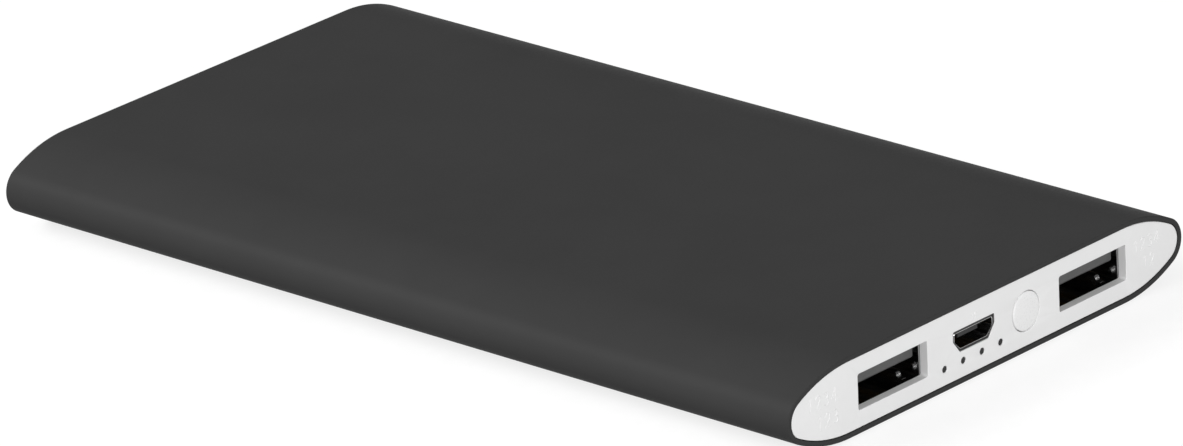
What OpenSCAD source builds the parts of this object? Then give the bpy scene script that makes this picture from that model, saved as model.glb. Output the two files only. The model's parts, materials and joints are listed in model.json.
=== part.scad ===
// Slim power bank: an extruded sleeve closed by two end panels, with two USB-A outlets, a micro-USB
// inlet, a push button and four charge lights on the front end. Millimetres. X is the width, Y runs
// from the port end (-Y) to the blank end, Z is up and zero at the resting face.

/* [Body] */
// Overall width
body_w = 74; // [66:0.1:90]
// Overall length
body_l = 128; // [112:0.1:154]
// Overall thickness
body_h = 10.4; // [10:0.1:13]
// Width of the curved edge, from the flat top to the side
edge_run = 11.2; // [9.5:0.1:13]
// Radius of the rounded side
nose_r = 3.2; // [2.8:0.05:3.6]
// Thickness of the extruded sleeve
wall = 0.65; // [0.6:0.05:0.8]

/* [Ends] */
// Depth of the panel's face inside the sleeve's end
panel_recess = 0.15; // [0.05:0.05:0.3]
// Thickness of each end panel
panel_t = 1.2; // [1:0.1:1.5]
// Thickness of the glue sheet behind each panel
glue_t = 0.15; // [0.1:0.05:0.2]
// Thickness of each bracket
bracket_t = 2.5; // [2.3:0.1:3]
// Radius of the bracket screws
screw_r = 0.85; // [0.8:0.05:0.9]
// Length of the screws' shanks
screw_len = 7; // [5:0.5:10]

/* [USB-A outlets] */
// Centre of the left outlet
usb_left_x = -17.7; // [-20:0.1:-16]
// Centre of the right outlet
usb_right_x = 19.9; // [18:0.1:21]
// Width of the mouth in the panel
usb_mouth_w = 12.8; // [12.4:0.1:13]
// Height of the mouth in the panel
usb_mouth_h = 4.6; // [4.6:0.05:5]
// Outer width of the steel shell
usb_shell_w = 13.1; // [13:0.05:13.3]
// Outer height of the steel shell
usb_shell_h = 5.7; // [5.6:0.05:5.8]
// Length of the steel shell
usb_shell_l = 14; // [13:0.5:15]

/* [Inlet, button and lights] */
// Centre of the micro-USB inlet
micro_x = -2.6; // [-3:0.1:-2]
// Outer width of the inlet's shell
micro_w = 7.3; // [7.25:0.05:7.45]
// Outer height of the inlet's shell
micro_h = 2.35; // [2.3:0.05:2.45]
// Centre of the button
button_x = 7.15; // [6.7:0.05:7.6]
// Radius of the button's head
button_r = 2.5; // [2.2:0.05:2.6]
// Press travel of the button
button_travel = 0.3; // [0.2:0.05:0.35]
// Number of charge lights
light_count = 4; // [2:1:4]
// Distance between charge lights
light_pitch = 3.5; // [3:0.1:3.6]
// Centre of the first charge light
first_light_x = -8.2; // [-8.5:0.1:-7.8]
// Depth of the lights below the middle of the end
light_drop = 2.42; // [2.36:0.02:2.5]
// Radius of each light's hole
light_hole_r = 0.45; // [0.4:0.05:0.5]

/* [Board and cells] */
// Width of the circuit board
board_w = 60.4; // [56:0.2:60.4]
// Length of the circuit board
board_l = 24; // [22:0.2:29]
// Thickness of the circuit board
board_t = 1; // [0.8:0.1:1]
// Depth of the board's top below the middle of the end
board_drop = 0.9; // [0.85:0.05:0.95]
// Width of each pouch cell
cell_w = 60; // [54:0.5:60]
// Thickness of each pouch cell
cell_t = 3.8; // [3.2:0.1:3.8]
// Thickness of the tape between the cells
cell_gap = 0.2; // [0.1:0.05:0.2]

/* [Fits] */
// Gap round each end panel
panel_gap = 0.08; // [0.05:0.01:0.15]
// Gap round each bracket and board piece
loose_gap = 0.15; // [0.1:0.05:0.2]
// Gap round the button and the switch's plunger
slide_gap = 0.1; // [0.08:0.01:0.15]
// Gap between pieces that butt together
seat_gap = 0.03; // [0.02:0.01:0.05]

/* [Hidden] */
$fn = 64;
eps = 0.01;

// section of the sleeve: a flat, a wide arc and a nose arc, each tangent to the next
half_h = body_h / 2;
flat_x = body_w / 2 - edge_run;
nose_x = body_w / 2 - nose_r;
nose_run = nose_x - flat_x;
edge_r = (nose_run * nose_run + half_h * half_h - nose_r * nose_r) / (2 * (half_h - nose_r));
inner_half_h = half_h - wall;
join_angle = atan2(edge_r - half_h, nose_run);
nose_steps = 10;
edge_steps = 12;

// depths from either end
panel_back = panel_recess + panel_t;
bracket_face = panel_back + glue_t;
bracket_back = bracket_face + bracket_t;
port_start = bracket_back + seat_gap;
port_r = nose_r - 0.55 * wall - 0.1;
port_bore_r = screw_r + 0.02;

// screws that hold the brackets
head_r = 1.5;
head_t = 0.8;
head_pocket = 1;
drive_w = 0.35;
drive_depth = 0.35;

// USB-A outlets
usb_plate = 0.3;
usb_front = panel_back + 0.05;
usb_back = usb_front + usb_shell_l;
tongue_w = 11.1;
tongue_t = 1.84;
tongue_drop = 0.62;
tongue_setback = 0.3;
tongue_l = 9;
usb_inner_half_h = usb_shell_h / 2 - usb_plate;
tongue_top = usb_inner_half_h - tongue_drop;
usb_plug_xs = [-3.5, -1, 1, 3.5];

// micro-USB inlet
board_top = -board_drop;
board_bottom = board_top - board_t;
micro_z = board_top + micro_h / 2;
micro_front = panel_recess + 0.15;
micro_l = 6.6;
micro_plate = 0.2;
micro_back = micro_front + micro_l;
micro_corner = 1.1;
micro_tongue_w = 3.7;
micro_tongue_t = 0.6;
micro_border = 0.26;

// button and switch
flange_r = button_r + 0.5;
flange_front = panel_back + 0.05;
flange_t = 0.6;
stem_r = 0.75;
switch_front = bracket_back + 1.3;
switch_w = 6;
switch_l = 3.6;
switch_h = 3;
plunger_w = 1.6;
plunger_h = 1.2;
plunger_front = bracket_back + 0.35;
plunger_back = switch_front + 0.9;
stem_end = plunger_front - 0.05;
switch_room = plunger_back + button_travel + 0.15;
switch_wall = 0.6;

// charge lights
lights_w = (light_count - 1) * light_pitch;
pin_r = light_hole_r - 0.05;
bar_t = 0.8;
bar_front = bracket_back - bar_t;
led_front = bracket_back + 0.8;
led_h = 0.85;

// board
board_front = bracket_back + 0.2;
board_back = board_front + board_l;
board_screw_x = 28.5;
board_screw_depth = bracket_back + 4;
board_screw_r = 0.7;
tab_w = 3;
tab_t = 1.7;
tab_l = 6;
parts_depth = usb_back + 1.2;

// frame and cells
rail_in = 30.4;
rail_t = 0.9;
rail_half_h = 1.8;
bar_depth = board_back + 0.6;
tab_zone = bar_depth + 1.5;
flange_depth = tab_zone + 4.7;
cell_start = flange_depth + 2;
cell_end = body_l - port_start - 0.5;
cell_edge_r = 1.2;
cell_mid = (cell_start + cell_end) / 2;
tape_t = 0.1;
wire_r = 0.55;
pad_t = inner_half_h - cell_t - cell_gap / 2 - 0.05;

// a flat shape drawn in the X-Z plane about the end's middle, from one depth to another
module front_slab(near, far) {
  translate([0, far - body_l / 2, half_h]) rotate([90, 0, 0]) linear_extrude(far - near) children();
}

module rear_slab(near, far) {
  translate([0, body_l / 2 - near, half_h]) rotate([90, 0, 0]) linear_extrude(far - near) children();
}

module plate_2d(w, h, x = 0, z = 0) {
  translate([x - w / 2, z - h / 2]) square([w, h]);
}

module rounded_2d(w, h, r) {
  plate_2d(w - 2 * r, h);
  plate_2d(w, h - 2 * r);
  for (x = [r - w / 2, w / 2 - r], z = [r - h / 2, h / 2 - r]) translate([x, z]) circle(r);
}

function arc_points(x, z, r, from, to, steps) =
  [for (i = [0 : steps]) let (a = from + (to - from) * i / steps) [x + r * cos(a), z + r * sin(a)]];

// a quarter of the section, from the middle of the side to the edge of the flat top
function quarter_points(t) = concat(
  arc_points(nose_x, 0, nose_r - t, 0, join_angle, nose_steps),
  arc_points(flat_x, half_h - edge_r, edge_r - t, join_angle + (90 - join_angle) / edge_steps, 90, edge_steps - 1)
);

// outline of the sleeve's section, inset by t all round
module outline(t) {
  quarter = quarter_points(t);
  below = [for (i = [len(quarter) - 1 : -1 : 1]) [quarter[i][0], -quarter[i][1]]];
  right = concat(below, quarter);
  left = [for (point = right) -point];
  polygon(concat(right, left));
}

module port_2d() {
  difference() {
    intersection() {
      outline(wall / 2);
      translate([nose_x, 0]) circle(port_r);
      translate([rail_in + rail_t + loose_gap, -half_h]) square([body_w, body_h]);
    }
    translate([nose_x, 0]) circle(port_bore_r);
  }
}

module sleeve() {
  color("dimgray") {
    front_slab(0, body_l) difference() {
      outline(0);
      outline(wall);
    }
    for (side = [0, 1]) mirror([side, 0, 0]) front_slab(port_start, body_l - port_start) port_2d();
  }
}

// trapezium of the inlet, widest at the top, grown by g
module micro_2d(g) {
  w = micro_w / 2 + g;
  h = micro_h / 2 + g;
  c = micro_corner + g / 2;
  translate([micro_x, micro_z]) polygon([
    [-w, h], [-w, h - c], [-w + c, -h], [w - c, -h], [w, h - c], [w, h]
  ]);
}

module usb_mouths_2d(w, h, r) {
  for (x = [usb_left_x, usb_right_x]) translate([x, 0]) rounded_2d(w, h, r);
}

module lights_2d(r) {
  for (i = [0 : light_count - 1]) translate([first_light_x + i * light_pitch, -light_drop]) circle(r);
}

module front_panel() {
  color("white") front_slab(panel_recess, panel_back) difference() {
    outline(wall + panel_gap);
    usb_mouths_2d(usb_mouth_w, usb_mouth_h, 0.3);
    micro_2d(micro_border);
    translate([button_x, 0]) circle(button_r + slide_gap);
    lights_2d(light_hole_r);
  }
}

module front_adhesive() {
  color("gainsboro") front_slab(panel_back, bracket_face) difference() {
    outline(wall + 0.6);
    usb_mouths_2d(usb_shell_w + 0.4, usb_shell_h + 0.4, 0.3);
    micro_2d(0.4);
    translate([button_x, 0]) circle(flange_r + 0.4);
    plate_2d(lights_w + 2, 1.6, first_light_x + lights_w / 2, -light_drop);
  }
}

module screw_holes() {
  for (side = [-1, 1]) translate([side * nose_x, 0]) children();
}

module front_bracket() {
  color("darkgray") difference() {
    union() {
      front_slab(bracket_face, bracket_back) outline(wall + loose_gap);
      for (side = [-1, 1]) front_slab(bracket_back - eps, bracket_back + tab_l)
        plate_2d(tab_w, tab_t, side * board_screw_x, board_bottom - tab_t / 2 - seat_gap);
      front_slab(micro_front - 0.02, bracket_face + eps) micro_2d(micro_border - seat_gap);
    }
    front_slab(bracket_face - eps, bracket_back + tab_l)
      usb_mouths_2d(usb_shell_w + 2 * loose_gap, usb_shell_h + 2 * loose_gap, 0.3);
    front_slab(panel_recess, bracket_back + eps) micro_2d(0);
    front_slab(bracket_face - eps, bracket_back + eps) {
      translate([button_x, 0]) circle(stem_r + 0.25);
      lights_2d(light_hole_r);
      screw_holes() circle(screw_r + 0.15);
    }
    front_slab(bracket_face - eps, flange_front + flange_t + button_travel + 0.15)
      translate([button_x, 0]) circle(flange_r + 0.15);
    front_slab(bracket_face - eps, bracket_face + head_pocket) screw_holes() circle(head_r + 0.1);
    front_slab(bar_front - 0.05, bracket_back + eps)
      plate_2d(lights_w + 2.2, 1.4, first_light_x + lights_w / 2, -light_drop);
    for (side = [-1, 1])
      translate([side * board_screw_x, board_screw_depth - body_l / 2, half_h + board_bottom - 2])
        cylinder(r = board_screw_r + 0.02, h = 4);
  }
}

// pan-head screws whose heads lie in the pockets of a bracket
module bracket_screws() {
  seat = bracket_face + head_pocket;
  difference() {
    union() {
      front_slab(seat - head_t, seat) screw_holes() circle(head_r);
      front_slab(seat - eps, seat + screw_len) screw_holes() circle(screw_r);
    }
    front_slab(seat - head_t - eps, seat - head_t + drive_depth) screw_holes() {
      plate_2d(drive_w, 1.8);
      plate_2d(1.8, drive_w);
    }
  }
}

module front_screws() {
  color("silver") bracket_screws();
}

module power_button() {
  color("white") {
    front_slab(0, flange_front + eps) translate([button_x, 0]) circle(button_r);
    front_slab(flange_front, flange_front + flange_t) translate([button_x, 0]) circle(flange_r);
    front_slab(flange_front + flange_t - eps, stem_end) translate([button_x, 0]) circle(stem_r);
  }
}

module light_pipe() {
  color("darkslategray") {
    front_slab(panel_recess + 0.1, led_front - 0.1) lights_2d(pin_r);
    front_slab(bar_front, bracket_back)
      plate_2d(lights_w + 1.8, 1.1, first_light_x + lights_w / 2, -light_drop);
  }
}

module main_pcb() {
  color("darkgreen") difference() {
    front_slab(board_front, board_back)
      plate_2d(board_w, board_t, 0, (board_top + board_bottom) / 2);
    front_slab(board_front - 1, usb_back + 0.2) usb_mouths_2d(usb_shell_w + 0.4, usb_shell_h, 0.3);
    for (side = [-1, 1])
      translate([side * board_screw_x, board_screw_depth - body_l / 2, half_h + board_bottom - 1])
        cylinder(r = board_screw_r + 0.1, h = 3);
  }
}

module pcb_screws() {
  color("silver") for (side = [-1, 1])
    translate([side * board_screw_x, board_screw_depth - body_l / 2, half_h + board_top]) difference() {
      union() {
        translate([0, 0, seat_gap]) cylinder(r = 1.2, h = 0.6);
        translate([0, 0, -board_t - tab_t + 0.2]) cylinder(r = board_screw_r, h = board_t + tab_t);
      }
      translate([-0.8, -drive_w / 2, 0.4]) cube([1.6, drive_w, 1]);
      translate([-drive_w / 2, -0.8, 0.4]) cube([drive_w, 1.6, 1]);
    }
}

// folded steel shell with two spring bumps pressed into its top and its bottom
module usb_shell(x) {
  color("silver") {
    front_slab(usb_front, usb_back) translate([x, 0]) difference() {
      rounded_2d(usb_shell_w, usb_shell_h, 0.6);
      rounded_2d(usb_shell_w - 2 * usb_plate, usb_shell_h - 2 * usb_plate, 0.3);
    }
    for (dx = [-2.9, 2.9], side = [-1, 1])
      translate([x + dx - 0.75, usb_front + 3.6 - body_l / 2, half_h + side * usb_inner_half_h])
        rotate([0, 90, 0]) intersection() {
          cylinder(r = 0.6, h = 1.5);
          translate([side > 0 ? -usb_plate / 2 : -0.24, -1, 0]) cube([0.24 + usb_plate / 2, 2, 1.5]);
        }
  }
}

// black insert: a tongue near the shell's top on a block that closes the shell's back
module usb_tongue(x) {
  lead = 0.5;
  color("black") {
    front_slab(usb_front + tongue_setback + tongue_l, usb_back - 0.3)
      plate_2d(usb_shell_w - 2 * usb_plate - 0.2, 2 * usb_inner_half_h - 0.1, x, 0);
    translate([x - tongue_w / 2, usb_front + tongue_setback - body_l / 2, half_h + tongue_top - tongue_t])
      rotate([90, 0, 90]) linear_extrude(tongue_w) polygon([
        [0, lead / 2], [lead / 2, 0], [tongue_l + eps, 0], [tongue_l + eps, tongue_t],
        [lead, tongue_t], [0, tongue_t - lead]
      ]);
  }
}

module usb_contacts(x) {
  color("gold") for (dx = usb_plug_xs)
    translate([x + dx - 0.5, usb_front + tongue_setback + 0.6 - body_l / 2, half_h + tongue_top - tongue_t - 0.12])
      cube([1, tongue_l - 0.8, 0.11]);
}

module usb_a_shell_left() { usb_shell(usb_left_x); }
module usb_a_shell_right() { usb_shell(usb_right_x); }
module usb_a_tongue_left() { usb_tongue(usb_left_x); }
module usb_a_tongue_right() { usb_tongue(usb_right_x); }
module usb_a_contacts_left() { usb_contacts(usb_left_x); }
module usb_a_contacts_right() { usb_contacts(usb_right_x); }

module micro_usb_shell() {
  color("silver") front_slab(micro_front, micro_back) difference() {
    micro_2d(-seat_gap);
    micro_2d(-micro_plate);
  }
}

module micro_usb_tongue() {
  top = micro_z + micro_h / 2 - micro_plate;
  color("black") {
    front_slab(micro_back - 1.2, micro_back - 0.1) micro_2d(-micro_plate - 0.06);
    front_slab(micro_front + 0.9, micro_back - 1.1)
      plate_2d(micro_tongue_w, micro_tongue_t, micro_x, top - 0.45 - micro_tongue_t / 2);
  }
}

module micro_usb_contacts() {
  under = micro_z + micro_h / 2 - micro_plate - 0.45 - micro_tongue_t - 0.06;
  color("gold") front_slab(micro_front + 1.1, micro_back - 1.3)
    for (i = [-2 : 2]) plate_2d(0.35, 0.1, micro_x + i * 0.65, under);
}

module switch_body() {
  color("black") difference() {
    front_slab(switch_front, switch_front + switch_l)
      plate_2d(switch_w, switch_h, button_x, board_top + switch_h / 2 + seat_gap);
    front_slab(switch_front - eps, switch_front + 0.5)
      plate_2d(plunger_w + 2 * slide_gap, plunger_h + 2 * slide_gap, button_x, 0.3);
    front_slab(switch_front + 0.5 - eps, switch_room + 0.4) plate_2d(4, 2, button_x, 0.4);
  }
}

module switch_cover() {
  top = board_top + switch_h + 2 * seat_gap;
  color("silver") {
    front_slab(switch_front + 0.3, switch_front + switch_l - 0.3)
      plate_2d(switch_w, 0.2, button_x, top + 0.1);
    for (side = [-1, 1]) front_slab(switch_front + 0.8, switch_front + 2.8) {
      plate_2d(0.2, 2.2, button_x + side * (switch_w / 2 + 0.13), top - 0.9);
      plate_2d(0.3, 0.2, button_x + side * (switch_w / 2 + 0.08), top + 0.1);
    }
  }
}

module switch_plunger() {
  color("white") {
    front_slab(plunger_front, plunger_back) plate_2d(plunger_w, plunger_h, button_x, 0.3);
    front_slab(switch_front + 0.5 + slide_gap, plunger_back) plate_2d(2.6, 1.4, button_x, 0.35);
  }
}

module switch_dome() {
  color("silver") front_slab(switch_room, switch_room + 0.15) translate([button_x, 0.4]) intersection() {
    circle(1.6);
    plate_2d(3.6, 1.8);
  }
}

module status_leds() {
  color("lightyellow") front_slab(led_front, led_front + 0.8) for (i = [0 : light_count - 1])
    plate_2d(1.6, led_h, first_light_x + i * light_pitch, board_bottom - seat_gap - led_h / 2);
}

// place a part on the board's top, x across and depth from the port end
module on_board(x, depth) {
  translate([x, depth - body_l / 2, half_h + board_top + seat_gap]) children();
}

module chip(w, l, h) {
  translate([-w / 2, -l / 2, 0]) cube([w, l, h]);
}

module power_inductor() {
  color("dimgray") on_board(-18, parts_depth + 4) {
    chip(7, 7, 0.7);
    cylinder(r = 1.5, h = 3.2);
    translate([0, 0, 2.5]) cylinder(r = 3.2, h = 0.8);
  }
}

module inductor_coil() {
  color("peru") on_board(-18, parts_depth + 4) translate([0, 0, 0.75]) difference() {
    cylinder(r = 2.9, h = 1.7);
    translate([0, 0, -1]) cylinder(r = 1.55, h = 4);
  }
}

module controller_ic() {
  color("black") on_board(-4, parts_depth + 3) translate([0, 0, 0.1]) chip(4, 5, 1.1);
  color("silver") on_board(-4, parts_depth + 3) for (i = [-1.5 : 1.5], side = [-1, 1])
    translate([side * 2.4, i * 1.2, 0]) chip(1, 0.4, 0.3);
}

module power_mosfets() {
  color("black") for (x = [5, 10]) on_board(x, parts_depth + 3) {
    chip(3.2, 3.2, 0.9);
    translate([0, 1.8, 0]) chip(2.4, 0.8, 0.2);
  }
}

module bulk_capacitor() {
  color("silver") on_board(19, parts_depth + 4) {
    chip(4.2, 4.2, 0.6);
    cylinder(r = 2, h = 4.4);
  }
}

module ceramic_capacitors() {
  color("tan") for (x = [-26, -10.5, 14.2, 24.6], y = [1.5, 4.5]) on_board(x, parts_depth + y) chip(2, 1.2, 1.1);
}

module chip_resistors() {
  color("black") for (x = [-7.5, -5.5, -3.5, 3.5, 5.5, 7.5, 9.5, 11.5])
    on_board(x, board_back - 1.4) chip(0.6, 1.2, 0.4);
}

module insulator_sheet() {
  color("gold") front_slab(board_front, board_back) plate_2d(2 * flat_x, 0.12, 0, -inner_half_h + 0.08);
}

module cell_frame() {
  color("darkgray") {
    for (side = [-1, 1]) front_slab(port_start, body_l - port_start)
      plate_2d(rail_t, 2 * rail_half_h, side * (rail_in + rail_t / 2), 0);
    front_slab(bar_depth, bar_depth + 1) plate_2d(2 * rail_in + rail_t, 2 * rail_half_h, 0, 0);
  }
}

module cell_board() {
  color("darkgreen") front_slab(tab_zone, tab_zone + 4) plate_2d(28, 0.8);
  color("black") front_slab(tab_zone + 0.6, tab_zone + 2) for (x = [-2, 1.5]) plate_2d(2.4, 0.8, x, 0.8);
}

module cell_tabs() {
  color("silver") for (x = [-9, 9], side = [-1, 1])
    front_slab(tab_zone + 2.6, flange_depth - seat_gap) plate_2d(4, 0.12, x, side * 0.5);
}

// pouch: a rounded body with a thin sealed edge at the port end
module pouch(side) {
  z = side * (cell_gap + cell_t) / 2;
  color("lightgray") {
    front_slab(cell_start, cell_end) translate([0, z]) rounded_2d(cell_w, cell_t, cell_edge_r);
    front_slab(flange_depth, cell_start + eps) plate_2d(cell_w - 4, 0.3, 0, side * 0.5);
  }
}

module cell_upper() { pouch(1); }
module cell_lower() { pouch(-1); }

module cell_adhesive() {
  color("white") front_slab(cell_start + 8, cell_end - 8) plate_2d(cell_w - 8, cell_gap - 0.02);
}

module cell_tape() {
  color("goldenrod") front_slab(cell_start + 0.5, cell_start + 12) difference() {
    rounded_2d(cell_w + 0.04 + 2 * tape_t, 2 * cell_t + cell_gap + 0.04 + 2 * tape_t, cell_edge_r + tape_t);
    rounded_2d(cell_w + 0.04, 2 * cell_t + cell_gap + 0.04, cell_edge_r);
  }
}

module foam_pads() {
  color("black") for (side = [-1, 1])
    front_slab(cell_mid - 10, cell_mid + 30) plate_2d(36, pad_t - 0.04, 0, side * (inner_half_h - pad_t / 2 - 0.03));
}

// round wire through a list of points given as x, depth and height above the middle
module wire(points) {
  for (i = [0 : len(points) - 2]) {
    from = points[i];
    to = points[i + 1];
    run = to - from;
    flat_run = norm([run[0], run[1]]);
    translate([from[0], from[1] - body_l / 2, half_h + from[2]]) {
      sphere(wire_r + 0.03, $fn = 32);
      rotate([0, atan2(flat_run, run[2]), atan2(run[1], run[0])]) cylinder(r = wire_r, h = norm(run), $fn = 32);
    }
  }
}

function lead_path(x, side) = [
  [x, board_back - 2.6, board_top + wire_r + seat_gap],
  [x, bar_depth - 1, 2.6],
  [x - side, bar_depth + 1.6, 2.6],
  [x - side, tab_zone + 1.4, 0.4 + wire_r + seat_gap]
];

module wire_red() { color("red") wire(lead_path(-12, -1)); }
module wire_black() { color("black") wire(lead_path(12, 1)); }

module thermistor() {
  color("saddlebrown") translate([19, tab_zone + 2 - body_l / 2, half_h + 0.4]) {
    sphere(0.8, $fn = 32);
    for (dy = [-0.4, 0.4]) translate([-4.9, dy, 0]) rotate([0, 90, 0]) cylinder(r = 0.15, h = 4.9, $fn = 16);
  }
}

module rear_bracket() {
  color("darkgray") difference() {
    rear_slab(bracket_face, bracket_back) outline(wall + loose_gap);
    rear_slab(bracket_face - eps, bracket_back + eps) {
      screw_holes() circle(screw_r + 0.15);
      for (x = [-21, -7, 7, 21]) plate_2d(11, 4, x);
    }
    rear_slab(bracket_face - eps, bracket_face + head_pocket) screw_holes() circle(head_r + 0.1);
  }
}

module rear_screws() {
  color("silver") mirror([0, 1, 0]) bracket_screws();
}

module rear_panel() {
  color("white") rear_slab(panel_recess, panel_back) outline(wall + panel_gap);
}

module rear_adhesive() {
  color("gainsboro") rear_slab(panel_back, bracket_face) difference() {
    outline(wall + 0.6);
    for (x = [-14, 14]) plate_2d(24, 4, x);
  }
}

sleeve();
front_panel();
front_adhesive();
front_bracket();
front_screws();
power_button();
light_pipe();
main_pcb();
pcb_screws();
usb_a_shell_left();
usb_a_shell_right();
usb_a_tongue_left();
usb_a_tongue_right();
usb_a_contacts_left();
usb_a_contacts_right();
micro_usb_shell();
micro_usb_tongue();
micro_usb_contacts();
switch_body();
switch_cover();
switch_plunger();
switch_dome();
status_leds();
power_inductor();
inductor_coil();
controller_ic();
power_mosfets();
bulk_capacitor();
ceramic_capacitors();
chip_resistors();
insulator_sheet();
cell_frame();
cell_board();
cell_tabs();
cell_upper();
cell_lower();
cell_adhesive();
cell_tape();
foam_pads();
wire_red();
wire_black();
thermistor();
rear_bracket();
rear_screws();
rear_panel();
rear_adhesive();
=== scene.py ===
import json
import math

import bmesh
import bpy
from mathutils import Matrix, Vector


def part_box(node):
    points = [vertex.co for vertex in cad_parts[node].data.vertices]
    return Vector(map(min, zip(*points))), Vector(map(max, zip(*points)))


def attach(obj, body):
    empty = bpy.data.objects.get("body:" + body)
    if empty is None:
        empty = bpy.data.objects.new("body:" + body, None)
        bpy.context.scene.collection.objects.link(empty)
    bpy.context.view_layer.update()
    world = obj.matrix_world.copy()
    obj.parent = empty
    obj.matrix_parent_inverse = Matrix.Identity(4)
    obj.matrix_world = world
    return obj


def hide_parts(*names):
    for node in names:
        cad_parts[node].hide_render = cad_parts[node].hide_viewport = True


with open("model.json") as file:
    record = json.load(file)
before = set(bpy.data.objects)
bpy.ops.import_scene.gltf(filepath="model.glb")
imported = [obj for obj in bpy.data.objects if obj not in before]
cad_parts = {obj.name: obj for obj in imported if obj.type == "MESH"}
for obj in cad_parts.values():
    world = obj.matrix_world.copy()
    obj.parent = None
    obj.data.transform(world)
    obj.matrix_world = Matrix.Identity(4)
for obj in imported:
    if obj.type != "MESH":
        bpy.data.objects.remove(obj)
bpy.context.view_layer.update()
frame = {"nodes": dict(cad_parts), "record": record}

MM = 0.001

# ---- sizes: taken from the frame where it has them, and the section's own arcs where it doesn't ----

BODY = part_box("sleeve")
HALF_W = BODY[1][0]
FRONT_Y = BODY[0][1]
REAR_Y = BODY[1][1]
HALF_H = BODY[1][2] / 2
EDGE_RUN = 11.2 * MM
NOSE_R = 3.2 * MM
WALL = 0.65 * MM
PORT_START = 4.03 * MM
PORT_R = NOSE_R - 0.55 * WALL - 0.1 * MM
PORT_INNER_X = 31.45 * MM
PANEL_GAP = 0.08 * MM
FLAT_X = HALF_W - EDGE_RUN
NOSE_X = HALF_W - NOSE_R
NOSE_RUN = NOSE_X - FLAT_X
EDGE_R = (NOSE_RUN ** 2 + HALF_H ** 2 - NOSE_R ** 2) / (2 * (HALF_H - NOSE_R))
NOSE_STEPS = 20
EDGE_STEPS = 22

# ---- camera ----

AZIMUTH = -47.656
ELEVATION = 21.541
ROLL = -2.553
DISTANCE = 1.2773
LENS = 315.66
AIM_RIGHT = 0.00055
AIM_DOWN = 0.00101


def add_camera():
    a, e, r = (math.radians(v) for v in (AZIMUTH, ELEVATION, ROLL))
    back = Vector((math.sin(a) * math.cos(e), -math.cos(a) * math.cos(e), math.sin(e)))
    level = Vector((math.cos(a), math.sin(a), 0))
    upright = back.cross(level)
    right = math.cos(r) * level + math.sin(r) * upright
    up = math.cos(r) * upright - math.sin(r) * level
    centre = Vector((0, 0, HALF_H))
    place = centre + back * DISTANCE
    aim = centre + right * AIM_RIGHT - up * AIM_DOWN
    out = (place - aim).normalized()
    side = up.cross(out).normalized()
    turn = Matrix((side, out.cross(side), out)).transposed().to_4x4()
    data = bpy.data.cameras.new("camera")
    data.lens = LENS
    data.clip_start = 0.05
    data.clip_end = 50
    camera = bpy.data.objects.new("camera", data)
    camera.matrix_world = Matrix.Translation(place) @ turn
    bpy.context.collection.objects.link(camera)
    bpy.context.scene.camera = camera


add_camera()

# ---- material helpers ----


def srgb(level):
    v = level / 255
    return v / 12.92 if v <= 0.04045 else ((v + 0.055) / 1.055) ** 2.4


def grey(level):
    return (srgb(level),) * 3


def rgb(r, g, b):
    return (srgb(r), srgb(g), srgb(b))


def shade(colour, factor):
    return (*[min(1, c * factor) for c in colour], 1)


def noise(nodes, links, scale, detail, stretch=(1, 1, 1)):
    coords = nodes.new("ShaderNodeTexCoord")
    mapping = nodes.new("ShaderNodeMapping")
    mapping.inputs["Scale"].default_value = stretch
    links.new(coords.outputs["Object"], mapping.inputs["Vector"])
    texture = nodes.new("ShaderNodeTexNoise")
    texture.inputs["Scale"].default_value = scale
    texture.inputs["Detail"].default_value = detail
    texture.inputs["Roughness"].default_value = 0.6
    links.new(mapping.outputs["Vector"], texture.inputs["Vector"])
    return texture.outputs["Fac"]


def ramp(nodes, links, source, low, high, low_at=0.35, high_at=0.65):
    node = nodes.new("ShaderNodeValToRGB")
    node.color_ramp.elements[0].position = low_at
    node.color_ramp.elements[1].position = high_at
    node.color_ramp.elements[0].color = low
    node.color_ramp.elements[1].color = high
    links.new(source, node.inputs["Fac"])
    return node.outputs["Color"]


def surface(name, colour, rough=0.5, metallic=0.0, vary=0.06, mottle=90, grain=2500, bump=0.15,
            depth=0.02, rough_vary=0.05, stretch=(1, 1, 1), specular=0.5, coat=0.0, ior=1.5, sheen=0.0):
    """A principled finish: mottled colour, uneven gloss and a fine grain in relief."""
    material = bpy.data.materials.new(name)
    material.use_nodes = True
    material.diffuse_color = (*colour, 1)
    nodes, links = material.node_tree.nodes, material.node_tree.links
    shader = nodes["Principled BSDF"]
    shader.inputs["Metallic"].default_value = metallic
    shader.inputs["Specular IOR Level"].default_value = specular
    shader.inputs["Coat Weight"].default_value = coat
    shader.inputs["IOR"].default_value = ior
    shader.inputs["Sheen Weight"].default_value = sheen
    broad = noise(nodes, links, mottle, 3, stretch)
    fine = noise(nodes, links, grain, 2, stretch)
    mottled = ramp(nodes, links, broad, shade(colour, 1 - vary), shade(colour, 1 + vary))
    links.new(mottled, shader.inputs["Base Color"])
    low, high = max(0, rough - rough_vary), min(1, rough + rough_vary)
    links.new(ramp(nodes, links, fine, (low,) * 3 + (1,), (high,) * 3 + (1,)), shader.inputs["Roughness"])
    relief = nodes.new("ShaderNodeBump")
    relief.inputs["Strength"].default_value = bump
    relief.inputs["Distance"].default_value = depth * MM
    links.new(fine, relief.inputs["Height"])
    links.new(relief.outputs["Normal"], shader.inputs["Normal"])
    return material


# ---- materials ----


def sleeve_material():
    return surface("sleeve_finish", grey(58), rough=0.5, vary=0.03, mottle=60, grain=4200, bump=0.25,
                   depth=0.015, rough_vary=0.04, specular=0.02)


def panel_material():
    return surface("panel_plastic", grey(231), rough=0.42, vary=0.012, mottle=150, grain=5200, bump=0.12,
                   depth=0.01, specular=0.35)


def button_material():
    return surface("button_plastic", grey(233), rough=0.3, vary=0.01, mottle=200, grain=5200, bump=0.05,
                   depth=0.01, specular=0.45)


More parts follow.
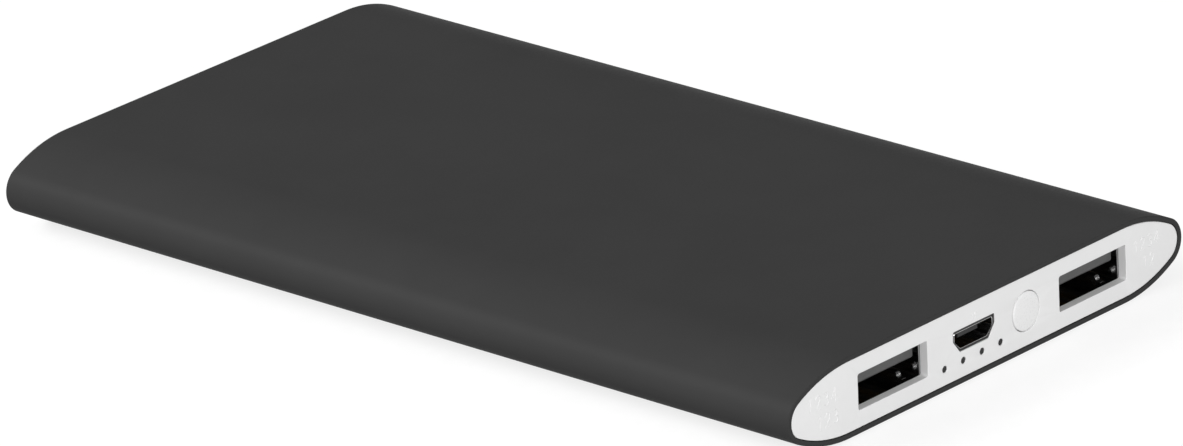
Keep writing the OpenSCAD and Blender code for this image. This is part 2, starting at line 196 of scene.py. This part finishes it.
# Brighter plated steel for the micro-USB shell and the switch. The USB-A springs take it too: it is a lighter
# copy of their own shell's steel, and it paints a glint on their humps.
def bright_steel_and_spring_glint():
    return surface("plated_steel_and_spring_glint", grey(190), rough=0.16, metallic=1, vary=0.05, mottle=700, grain=3000,
                   bump=0.1, depth=0.01, stretch=(1, 0.15, 1))


def shell_steel():
    return surface("socket_steel", grey(150), rough=0.14, metallic=1, vary=0.08, mottle=500, grain=2600,
                   bump=0.08, depth=0.008, stretch=(1, 0.15, 1))


def zinc_steel():
    return surface("zinc_steel", rgb(178, 178, 172), rough=0.32, metallic=1, vary=0.08, mottle=800,
                   grain=3500)


def tongue_plastic():
    return surface("tongue_plastic", grey(70), rough=0.45, vary=0.08, mottle=600, grain=4500, bump=0.15)


def black_plastic():
    return surface("black_plastic", grey(26), rough=0.5, vary=0.12, mottle=500, grain=4500, bump=0.2)


def gold():
    return surface("gold_plate", rgb(224, 178, 96), rough=0.22, metallic=1, vary=0.06, mottle=900, grain=4000)


def smoked_lens():
    return surface("smoked_lens", grey(16), rough=0.3, vary=0.1, mottle=1500, grain=6000, bump=0.04,
                   specular=0.3)


def bracket_plastic():
    return surface("bracket_plastic", grey(30), rough=0.55, vary=0.1, mottle=300, grain=3800, bump=0.25)


def solder_mask():
    return surface("solder_mask", rgb(22, 84, 52), rough=0.3, vary=0.12, mottle=350, grain=2800, coat=0.5)


def tape_white():
    return surface("tape_white", rgb(214, 212, 204), rough=0.7, vary=0.05, mottle=400, grain=2500, bump=0.4)


def ferrite():
    return surface("ferrite", grey(70), rough=0.6, vary=0.15, mottle=700, grain=3000, bump=0.4)


def copper():
    return surface("copper_winding", rgb(184, 104, 62), rough=0.28, metallic=1, vary=0.12, mottle=500,
                   grain=2200, bump=0.6, depth=0.08, stretch=(0.1, 0.1, 6))


def chip_black():
    return surface("chip_black", grey(34), rough=0.6, vary=0.1, mottle=900, grain=6000, bump=0.3)


def can_aluminium():
    return surface("can_aluminium", grey(205), rough=0.24, metallic=1, vary=0.04, mottle=500, grain=3000)


def ceramic_tan():
    return surface("ceramic_tan", rgb(158, 130, 98), rough=0.45, vary=0.1, mottle=900, grain=5000)


def amber_film():
    return surface("amber_film", rgb(196, 128, 38), rough=0.2, vary=0.08, mottle=200, grain=900, bump=0.3,
                   coat=0.5)


def nickel():
    return surface("nickel_strip", rgb(196, 190, 178), rough=0.3, metallic=1, vary=0.06, mottle=700,
                   grain=2500)


def pouch_foil():
    return surface("pouch_foil", grey(186), rough=0.34, metallic=0.85, vary=0.05, mottle=60, grain=700,
                   bump=0.5, depth=0.05)


def foam():
    return surface("foam", grey(40), rough=0.95, vary=0.25, mottle=1600, grain=2600, bump=1.0, depth=0.15)


def red_rubber():
    return surface("red_insulation", rgb(178, 30, 28), rough=0.45, vary=0.06, mottle=500, grain=3500)


def black_rubber():
    return surface("black_insulation", grey(28), rough=0.5, vary=0.1, mottle=500, grain=3500)


def thermistor_brown():
    return surface("dipped_brown", rgb(104, 62, 34), rough=0.35, vary=0.12, mottle=700, grain=3000, coat=0.3)


def plunger_cream():
    return surface("plunger_cream", rgb(218, 214, 202), rough=0.45, vary=0.04, mottle=600, grain=4500)


def led_clear():
    return surface("led_clear", rgb(226, 222, 196), rough=0.15, vary=0.06, mottle=900, grain=5000, coat=0.5)


NODE_MATERIALS = (
    (sleeve_material, ("sleeve",)),
    (panel_material, ("front_panel", "rear_panel")),
    (button_material, ("power_button",)),
    (bracket_plastic, ("front_bracket", "rear_bracket", "cell_frame")),
    (tape_white, ("front_adhesive", "rear_adhesive", "cell_adhesive")),
    (zinc_steel, ("front_screws", "rear_screws", "pcb_screws")),
    (smoked_lens, ("light_pipe",)),
    (solder_mask, ("main_pcb", "cell_board")),
    (shell_steel, ("usb_a_shell_left", "usb_a_shell_right")),
    (bright_steel_and_spring_glint, ("micro_usb_shell", "switch_cover", "switch_dome")),
    (tongue_plastic, ("usb_a_tongue_left", "usb_a_tongue_right")),
    (black_plastic, ("micro_usb_tongue", "switch_body")),
    (gold, ("usb_a_contacts_left", "usb_a_contacts_right", "micro_usb_contacts")),
    (plunger_cream, ("switch_plunger",)),
    (led_clear, ("status_leds",)),
    (ferrite, ("power_inductor",)),
    (copper, ("inductor_coil",)),
    (chip_black, ("controller_ic", "power_mosfets", "chip_resistors")),
    (can_aluminium, ("bulk_capacitor",)),
    (ceramic_tan, ("ceramic_capacitors",)),
    (amber_film, ("insulator_sheet", "cell_tape")),
    (nickel, ("cell_tabs",)),
    (pouch_foil, ("cell_upper", "cell_lower")),
    (foam, ("foam_pads",)),
    (red_rubber, ("wire_red",)),
    (black_rubber, ("wire_black",)),
    (thermistor_brown, ("thermistor",)),
)

finishes = {}
for make, names in NODE_MATERIALS:
    finish = make()
    for name in names:
        finishes[name] = finish
        node = frame["nodes"][name]
        node.data.materials.clear()
        node.data.materials.append(finish)

# ---- mesh helpers ----


def outline(inset):
    """Points of the sleeve's section, set in by inset, as (x, z) from its middle, anticlockwise."""
    join = math.atan2(EDGE_R - HALF_H, NOSE_RUN)
    quarter = []
    for i in range(NOSE_STEPS + 1):
        a = join * i / NOSE_STEPS
        quarter.append((NOSE_X + (NOSE_R - inset) * math.cos(a), (NOSE_R - inset) * math.sin(a)))
    for i in range(1, EDGE_STEPS + 1):
        a = join + (math.pi / 2 - join) * i / EDGE_STEPS
        r = EDGE_R - inset
        quarter.append((FLAT_X + r * math.cos(a), HALF_H - EDGE_R + r * math.sin(a)))
    right = [(x, -z) for x, z in reversed(quarter[1:])] + quarter
    return right + [(-x, -z) for x, z in right]


def finish_mesh(name, mesh_data, node, sharp=35, finish=None):
    """Puts a mesh into the scene as the piece that stands for a CAD node, or rides beside it."""
    bmesh.ops.remove_doubles(mesh_data, verts=mesh_data.verts, dist=1e-7)
    bmesh.ops.recalc_face_normals(mesh_data, faces=mesh_data.faces)
    mesh = bpy.data.meshes.new(name)
    mesh_data.to_mesh(mesh)
    mesh_data.free()
    for polygon in mesh.polygons:
        polygon.use_smooth = True
    mesh.set_sharp_from_angle(angle=math.radians(sharp))
    piece = bpy.data.objects.new(name, mesh)
    bpy.context.collection.objects.link(piece)
    weighted = piece.modifiers.new("weighted_normals", "WEIGHTED_NORMAL")
    weighted.keep_sharp = True
    mesh.materials.append(finish or finishes[node])
    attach(piece, next(b for b, nodes in BODIES.items() if node in nodes))
    return piece


BODIES = frame["record"]["behaviour"]["bodies"]


def loft(mesh, rings, closed=False):
    """Quads between successive rings of the same count; closed joins the last to the first."""
    made = [[mesh.verts.new(p) for p in ring] for ring in rings]
    pairs = list(zip(made, made[1:])) + ([(made[-1], made[0])] if closed else [])
    for a, b in pairs:
        for i in range(len(a)):
            j = (i + 1) % len(a)
            mesh.faces.new((a[i], a[j], b[j], b[i]))
    return made


def capped_loft(mesh, rings):
    made = loft(mesh, rings)
    for ring in (made[0], made[-1]):
        mesh.faces.new(ring)


def placed(points, y):
    """Puts (x, z) points about the section's middle at a depth of y."""
    return [Vector((x, y, z + HALF_H)) for x, z in points]


def offset_loop(points, d):
    """Moves a loop to its left by d, which is into the material of a plate."""
    moved = []
    n = len(points)
    for i, (x, z) in enumerate(points):
        ax, az = x - points[i - 1][0], z - points[i - 1][1]
        bx, bz = points[(i + 1) % n][0] - x, points[(i + 1) % n][1] - z
        la, lb = math.hypot(ax, az), math.hypot(bx, bz)
        na, nb = (-az / la, ax / la), (-bz / lb, bx / lb)
        mx, mz = na[0] + nb[0], na[1] + nb[1]
        k = 2 / (mx * mx + mz * mz)
        moved.append((x + mx * k * d, z + mz * k * d))
    return moved


def arc(steps):
    return [math.pi / 2 * i / steps for i in range(steps + 1)]


def plate(mesh, loops, near, far, near_r, far_r, steps=4):
    """A plate along Y with holes and rounded edges: the outer loop is anticlockwise, each hole clockwise."""
    caps = []
    for points in loops:
        rings = []
        for a in arc(steps):
            ring = offset_loop(points, near_r * (1 - math.sin(a)))
            rings.append(placed(ring, near + near_r * (1 - math.cos(a))))
        for a in reversed(arc(steps)):
            ring = offset_loop(points, far_r * (1 - math.sin(a)))
            rings.append(placed(ring, far - far_r * (1 - math.cos(a))))
        made = loft(mesh, rings)
        caps.append((made[0], made[-1]))
    for end in (0, 1):
        edges = []
        for pair in caps:
            ring = pair[end]
            edges += [mesh.edges.get((ring[i], ring[(i + 1) % len(ring)])) for i in range(len(ring))]
        bmesh.ops.triangle_fill(mesh, edges=edges, use_beauty=True)


def circle(x, z, r, steps=48):
    return [(x + r * math.cos(t), z + r * math.sin(t)) for t in (math.tau * i / steps for i in range(steps))]


def rounded_box(x, z, w, h, r, steps=6):
    points = []
    for cx, cz, start in ((1, 1, 0), (-1, 1, 90), (-1, -1, 180), (1, -1, 270)):
        for i in range(steps + 1):
            a = math.radians(start + 90 * i / steps)
            points.append((x + cx * (w / 2 - r) + r * math.cos(a), z + cz * (h / 2 - r) + r * math.sin(a)))
    return points


def rounded_polygon(corners, r, steps=5):
    """Anticlockwise corners with each one rounded."""
    points = []
    n = len(corners)
    for i, corner in enumerate(corners):
        p = Vector(corner)
        a = (Vector(corners[i - 1]) - p).normalized()
        b = (Vector(corners[(i + 1) % n]) - p).normalized()
        half = a.angle(b) / 2
        centre = p + (a + b).normalized() * (r / math.sin(half))
        start = p + a * (r / math.tan(half)) - centre
        sweep = math.pi - 2 * half
        for k in range(steps + 1):
            t = sweep * k / steps
            points.append((centre.x + start.x * math.cos(t) - start.y * math.sin(t),
                           centre.y + start.x * math.sin(t) + start.y * math.cos(t)))
    return points


def lathe(mesh, profile, x, z, steps=72):
    """Turns a profile of (radius, y) about a line along Y; a radius of zero closes the end."""
    capped_loft(mesh, [placed(circle(x, z, max(r, 1e-6), steps), y) for r, y in profile])


def mid(node, axis):
    low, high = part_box(node)
    return (low[axis] + high[axis]) / 2


# ---- sleeve ----


RIM_OUTER_R = 0.16 * MM
RIM_INNER_R = 0.1 * MM
PORT_BORE_R = 0.87 * MM


def sleeve():
    mesh = bmesh.new()
    stations = []
    for end, sign in ((FRONT_Y, 1), (REAR_Y, -1)):
        rim = [(RIM_OUTER_R * (1 - math.cos(a)), end + sign * RIM_OUTER_R * (1 - math.sin(a)))
               for a in arc(4)]
        rim += [(WALL - RIM_INNER_R * (1 - math.cos(a)), end + sign * RIM_INNER_R * (1 - math.sin(a)))
                for a in reversed(arc(3))]
        stations += rim if sign > 0 else rim[::-1]
    rings = [placed(outline(inset), y) for inset, y in stations]
    loft(mesh, rings, closed=True)
    near, far = FRONT_Y + PORT_START, REAR_Y - PORT_START
    for side in (-1, 1):
        rim = [(side * max(side * x, PORT_INNER_X), z) for x, z in circle(side * NOSE_X, 0, PORT_R)]
        bore = circle(side * NOSE_X, 0, PORT_BORE_R)
        loft(mesh, [placed(rim, near), placed(rim, far), placed(bore, far), placed(bore, near)], closed=True)
    piece = finish_mesh("sleeve_shell", mesh, "sleeve")
    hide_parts("sleeve")


sleeve()

# ---- end panels ----

SIDES = ("left", "right")
MOUTH_W = 12.8 * MM
MOUTH_H = 4.6 * MM
BUTTON_R = 2.5 * MM
LIGHT_R = 0.45 * MM
LIGHT_DROP = 2.42 * MM
LIGHT_XS = [(-8.2 + 3.5 * i) * MM for i in range(4)]
BUTTON_X = mid("power_button", 0)
SLIDE_GAP = 0.1 * MM
MICRO_BORDER = 0.29 * MM
MICRO_CORNER = 1.1 * MM
HOLE_CORNER_R = 0.3 * MM
FACE_EDGE_R = 0.08 * MM
BACK_EDGE_R = 0.03 * MM


def micro_corners(grow):
    low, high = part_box("micro_usb_shell")
    x, z = (low[0] + high[0]) / 2, (low[2] + high[2]) / 2 - HALF_H
    w, h = (high[0] - low[0]) / 2 + grow, (high[2] - low[2]) / 2 + grow
    c = MICRO_CORNER + grow / 2
    return [(x + w, z + h), (x - w, z + h), (x - w, z + h - c),
            (x - w + c, z - h), (x + w - c, z - h), (x + w, z + h - c)]


def front_panel():
    low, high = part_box("front_panel")
    mesh = bmesh.new()
    holes = [rounded_box(mid("usb_a_shell_" + side, 0), 0, MOUTH_W, MOUTH_H, HOLE_CORNER_R) for side in SIDES]
    holes.append(rounded_polygon(micro_corners(MICRO_BORDER), HOLE_CORNER_R))
    holes.append(circle(BUTTON_X, 0, BUTTON_R + SLIDE_GAP, 72))
    holes += [circle(x, -LIGHT_DROP, LIGHT_R, 28) for x in LIGHT_XS]
    loops = [outline(WALL + PANEL_GAP)] + [hole[::-1] for hole in holes]
    plate(mesh, loops, low[1], high[1], FACE_EDGE_R, BACK_EDGE_R)
    piece = finish_mesh("front_panel_moulding", mesh, "front_panel")
    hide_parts("front_panel")


def rear_panel():
    low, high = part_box("rear_panel")
    mesh = bmesh.new()
    plate(mesh, [outline(WALL + PANEL_GAP)], low[1], high[1], BACK_EDGE_R, FACE_EDGE_R)
    piece = finish_mesh("rear_panel_moulding", mesh, "rear_panel")
    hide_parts("rear_panel")


front_panel()
rear_panel()

# ---- button ----


CROWN_DROP = 0.05 * MM
CROWN_STEPS = 8
BUTTON_EDGE_R = 0.3 * MM
FLANGE_DEPTH = 1.4 * MM
FLANGE_R = BUTTON_R + 0.5 * MM
FLANGE_T = 0.6 * MM
STEM_R = 0.75 * MM
STEM_BEVEL = 0.1 * MM


def power_button():
    """A slightly crowned head with an eased edge, a flange behind the panel and a stem to the switch."""
    low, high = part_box("power_button")
    face, tip = low[1], high[1]
    flange = face + FLANGE_DEPTH
    flat_r = BUTTON_R - BUTTON_EDGE_R
    profile = [(0, face)]
    for i in range(1, CROWN_STEPS + 1):
        r = flat_r * i / CROWN_STEPS
        profile.append((r, face + CROWN_DROP * (r / BUTTON_R) ** 2))
    rim = profile[-1][1]
    for a in arc(5)[1:]:
        profile.append((flat_r + BUTTON_EDGE_R * math.sin(a), rim + BUTTON_EDGE_R / 2 * (1 - math.cos(a))))
    profile += [(BUTTON_R, flange), (FLANGE_R, flange), (FLANGE_R, flange + FLANGE_T)]
    profile += [(STEM_R, flange + FLANGE_T), (STEM_R, tip - STEM_BEVEL), (STEM_R - STEM_BEVEL, tip), (0, tip)]
    mesh = bmesh.new()
    lathe(mesh, profile, BUTTON_X, 0)
    piece = finish_mesh("button_cap", mesh, "power_button")
    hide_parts("power_button")


power_button()

# ---- USB-A sockets ----


USB_SHEET = 0.3 * MM
USB_LIP = 0.12 * MM
USB_BEVEL = 0.05 * MM
USB_CORNER_R = 0.6 * MM
USB_INNER_CORNER_R = 0.25 * MM
FINGER_X = 4.7 * MM
FINGER_START = 1.15 * MM
FINGER_REACH = 2.4 * MM
FINGER_W = 0.7 * MM
FINGER_ROOT = 0.06 * MM
FINGER_T = 0.03 * MM
HUMP_RISE = 0.75 * MM
HUMP_AT = 0.42
HUMP_SPREAD = 0.11
FINGER_STEPS = 16


def finger(mesh, x, z, rise, y):
    """A sprung finger pressed out of a shell's wall, humped towards the plug."""
    rings = []
    left, right = x - FINGER_W / 2, x + FINGER_W / 2
    for i in range(FINGER_STEPS + 1):
        t = i / FINGER_STEPS
        lift = FINGER_T + HUMP_RISE * math.exp(-((t - HUMP_AT) / HUMP_SPREAD) ** 2)
        base, crown = z - HALF_H - rise * FINGER_ROOT, z - HALF_H + rise * lift
        low_z, high_z = min(base, crown), max(base, crown)
        corners = [(left, low_z), (right, low_z), (right, high_z), (left, high_z)]
        rings.append(placed(corners, y + FINGER_REACH * t))
    capped_loft(mesh, rings)


def usb_shell(side):
    node = "usb_a_shell_" + side
    low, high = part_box(node)
    x = (low[0] + high[0]) / 2
    w, h = high[0] - low[0], high[2] - low[2]
    front, back = low[1], high[1]
    stations = [(0, front + USB_BEVEL), (USB_BEVEL, front), (USB_SHEET - USB_LIP, front),
                (USB_SHEET - USB_BEVEL, front + USB_LIP / 2), (USB_SHEET, front + 2 * USB_LIP),
                (USB_SHEET, back), (0, back)]
    rings = []
    for inset, y in stations:
        corner = max(USB_INNER_CORNER_R, USB_CORNER_R - inset)
        rings.append(placed(rounded_box(x, 0, w - 2 * inset, h - 2 * inset, corner), y))
    mesh = bmesh.new()
    loft(mesh, rings, closed=True)
    piece = finish_mesh("usb_shell_" + side, mesh, node)
    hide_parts(node)
    springs = bmesh.new()
    for dx in (-FINGER_X, FINGER_X):
        for rise, wall_z in ((1, low[2] + USB_SHEET), (-1, high[2] - USB_SHEET)):
            finger(springs, x + dx, wall_z, rise, front + FINGER_START)
    # The springs are pressed from this shell's own steel but take the brighter steel of the micro-USB shell,
    # a lighter copy that paints glints on their humps.
    finish_mesh("usb_springs_" + side, springs, node, finish=finishes["micro_usb_shell"])


def box_into(mesh, low, high):
    xs, ys, zs = zip(low, high)
    corners = [mesh.verts.new((x, y, z)) for x in xs for y in ys for z in zs]
    for quad in ((0, 1, 3, 2), (4, 6, 7, 5), (0, 4, 5, 1), (2, 3, 7, 6), (0, 2, 6, 4), (1, 5, 7, 3)):
        mesh.faces.new([corners[i] for i in quad])


TONGUE_HALF_W = 5.55 * MM
TONGUE_T = 1.84 * MM
TONGUE_DROP = 0.57 * MM
TONGUE_L = 9 * MM
TONGUE_LEAD = 0.5 * MM
TONGUE_BEVEL = 0.12 * MM
RIB_XS = (-4.4 * MM, -2.2 * MM, 0, 2.2 * MM, 4.4 * MM)
RIB_HALF_W = 0.08 * MM
RIB_START = 1 * MM
RIB_RISE = 0.06 * MM
RIB_ROOT = 0.05 * MM


def usb_tongue(side):
    """A tongue with a lead-in and thin ribs under it, standing on the block that closes the socket."""
    node = "usb_a_tongue_" + side
    low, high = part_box(node)
    x = (low[0] + high[0]) / 2
    front = low[1]
    block = front + TONGUE_L
    top = high[2] - TONGUE_DROP
    under = top - TONGUE_T
    side_view = [(front, under + TONGUE_LEAD / 2), (front + TONGUE_LEAD / 2, under), (block, under),
                 (block, top), (front + TONGUE_LEAD, top), (front, top - TONGUE_LEAD)]
    flank = TONGUE_HALF_W - TONGUE_BEVEL
    mesh = bmesh.new()
    rings = []
    for dx, inset in ((-TONGUE_HALF_W, TONGUE_BEVEL), (-flank, 0), (flank, 0), (TONGUE_HALF_W, TONGUE_BEVEL)):
        rings.append([Vector((x + dx, y + (inset if y < block else 0), z)) for y, z in side_view])
    capped_loft(mesh, rings)
    for dx in RIB_XS:
        box_into(mesh, (x + dx - RIB_HALF_W, front + RIB_START, under - RIB_RISE),
                 (x + dx + RIB_HALF_W, block, under + RIB_ROOT))
    box_into(mesh, (low[0], block, low[2]), high)
    piece = finish_mesh("usb_tongue_" + side, mesh, node)
    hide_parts(node)


for side in SIDES:
    usb_shell(side)
    usb_tongue(side)

# ---- micro-USB inlet ----


MICRO_SHEET = 0.12 * MM
MICRO_BEVEL = 0.04 * MM
MICRO_LIP = 0.06 * MM
MICRO_CORNER_R = 0.28 * MM


def micro_shell():
    low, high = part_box("micro_usb_shell")
    front, back = low[1], high[1]
    stations = [(0, front + MICRO_BEVEL), (MICRO_BEVEL, front), (MICRO_SHEET - MICRO_BEVEL, front),
                (MICRO_SHEET, front + MICRO_LIP), (MICRO_SHEET, back), (0, back)]
    mesh = bmesh.new()
    rings = [placed(rounded_polygon(micro_corners(-inset), MICRO_CORNER_R - inset / 2), y)
             for inset, y in stations]
    loft(mesh, rings, closed=True)
    piece = finish_mesh("micro_shell", mesh, "micro_usb_shell")
    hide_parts("micro_usb_shell")


micro_shell()

# ---- raised numerals on the panel ----

# each digit's strokes as (x, z) points, in a cell DIGIT_H tall
STROKES = {
    "1": [(0.3, 2.6), (0.9, 3.3), (0.9, 0)],
    "2": [(0, 2.5), (0.2, 3), (0.7, 3.3), (1.2, 3.2), (1.6, 2.7), (1.4, 1.9), (0, 0), (1.7, 0)],
    "3": [(0.1, 3), (0.7, 3.3), (1.4, 3), (1.5, 2.3), (0.8, 1.8), (1.5, 1.4), (1.6, 0.6), (1, 0), (0.1, 0.3)],
    "4": [(1.3, 0), (1.3, 3.3), (0, 1), (1.8, 1)],
}
DIGIT_H = 3.3
DIGIT_PITCH = 2.7
STROKE_R = 0.075 * MM
STROKE_SINK = 0.03 * MM

# digits, left end and foot in millimetres from the panel's middle, and height in millimetres
ROWS = (
    ("1234", -33.2, 0.3, 1.75),
    ("123", -31.6, -2.4, 1.75),
    ("1234", 27.9, 0.6, 1.6),
    ("12", 29.6, -1.9, 1.6),
    ("12", mid("micro_usb_shell", 0) / MM - 0.5, 2.2, 0.8),
)


def numerals():
    """Plain counting numbers, standing a few hundredths proud of the panel's face."""
    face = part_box("front_panel")[0][1]
    curve = bpy.data.curves.new("panel_numerals", "CURVE")
    curve.dimensions = "3D"
    curve.bevel_depth = STROKE_R
    curve.bevel_resolution = 2
    curve.use_fill_caps = True
    for digits, x, z, height in ROWS:
        unit = height * MM / DIGIT_H
        for i, digit in enumerate(digits):
            points = STROKES[digit]
            spline = curve.splines.new("POLY")
            spline.points.add(len(points) - 1)
            for point, (px, pz) in zip(spline.points, points):
                across = x * MM + (px + DIGIT_PITCH * i) * unit
                point.co = (across, face + STROKE_SINK, z * MM + pz * unit + HALF_H, 1)
    holder = bpy.data.objects.new("numeral_curves", curve)
    bpy.context.collection.objects.link(holder)
    made = bpy.data.meshes.new_from_object(holder.evaluated_get(bpy.context.evaluated_depsgraph_get()))
    bpy.data.objects.remove(holder)
    mesh = bmesh.new()
    mesh.from_mesh(made)
    finish_mesh("panel_numerals", mesh, "front_panel", sharp=60)


numerals()

# ---- lamps, world and floor ----


def add_area(name, place, target, size, power):
    data = bpy.data.lights.new(name, "AREA")
    data.shape = "RECTANGLE"
    data.size, data.size_y = size
    data.energy = power
    lamp = bpy.data.objects.new(name, data)
    lamp.location = place
    lamp.rotation_mode = "QUATERNION"
    lamp.rotation_quaternion = (Vector(target) - Vector(place)).to_track_quat("-Z", "Y")
    bpy.context.collection.objects.link(lamp)


add_area("front_box", (-0.68, -1.3, 0.36), (0, -0.06, 0.005), (0.8, 0.5), 17.5)
add_area("side_strip", (-0.8, 0.9, 0.8), (0, 0, 0.005), (1.4, 0.4), 20.0)


def seen_directly(nodes, links):
    """One for camera, glossy and transmission rays, and zero for the rays that carry light."""
    path = nodes.new("ShaderNodeLightPath")
    total = nodes.new("ShaderNodeMath")
    total.operation = "MAXIMUM"
    links.new(path.outputs["Is Camera Ray"], total.inputs[0])
    links.new(path.outputs["Is Glossy Ray"], total.inputs[1])
    both = nodes.new("ShaderNodeMath")
    both.operation = "MAXIMUM"
    links.new(total.outputs[0], both.inputs[0])
    links.new(path.outputs["Is Transmission Ray"], both.inputs[1])
    return both.outputs[0]


WORLD_LIGHT = 0.35
FLOOR_DROP = 0.05 * MM
FLOOR_HALF = 15
FLOOR_DARK = (0.24, 0.24, 0.24, 1)
FLOOR_LIGHT = (0.26, 0.26, 0.26, 1)
FLOOR_GLOW = 0.79


def add_world():
    world = bpy.data.worlds.new("studio")
    bpy.context.scene.world = world
    world.use_nodes = True
    background = world.node_tree.nodes["Background"]
    background.inputs["Color"].default_value = (1, 1, 1, 1)
    background.inputs["Strength"].default_value = WORLD_LIGHT


def add_floor():
    mesh = bmesh.new()
    bmesh.ops.create_grid(mesh, x_segments=1, y_segments=1, size=FLOOR_HALF)
    data = bpy.data.meshes.new("floor")
    mesh.to_mesh(data)
    mesh.free()
    floor = bpy.data.objects.new("floor", data)
    floor.location.z = -FLOOR_DROP
    bpy.context.collection.objects.link(floor)
    material = bpy.data.materials.new("paper_floor")
    material.use_nodes = True
    nodes, links = material.node_tree.nodes, material.node_tree.links
    shader = nodes["Principled BSDF"]
    shader.inputs["Roughness"].default_value = 0.9
    shader.inputs["Specular IOR Level"].default_value = 0.1
    fibre = noise(nodes, links, 400, 3)
    links.new(ramp(nodes, links, fibre, FLOOR_DARK, FLOOR_LIGHT), shader.inputs["Base Color"])
    shader.inputs["Emission Color"].default_value = (1, 1, 1, 1)
    glow = nodes.new("ShaderNodeMath")
    glow.operation = "MULTIPLY"
    glow.inputs[1].default_value = FLOOR_GLOW
    links.new(seen_directly(nodes, links), glow.inputs[0])
    links.new(glow.outputs[0], shader.inputs["Emission Strength"])
    data.materials.append(material)


add_world()
add_floor()

bpy.context.scene.view_settings.view_transform = "Standard"
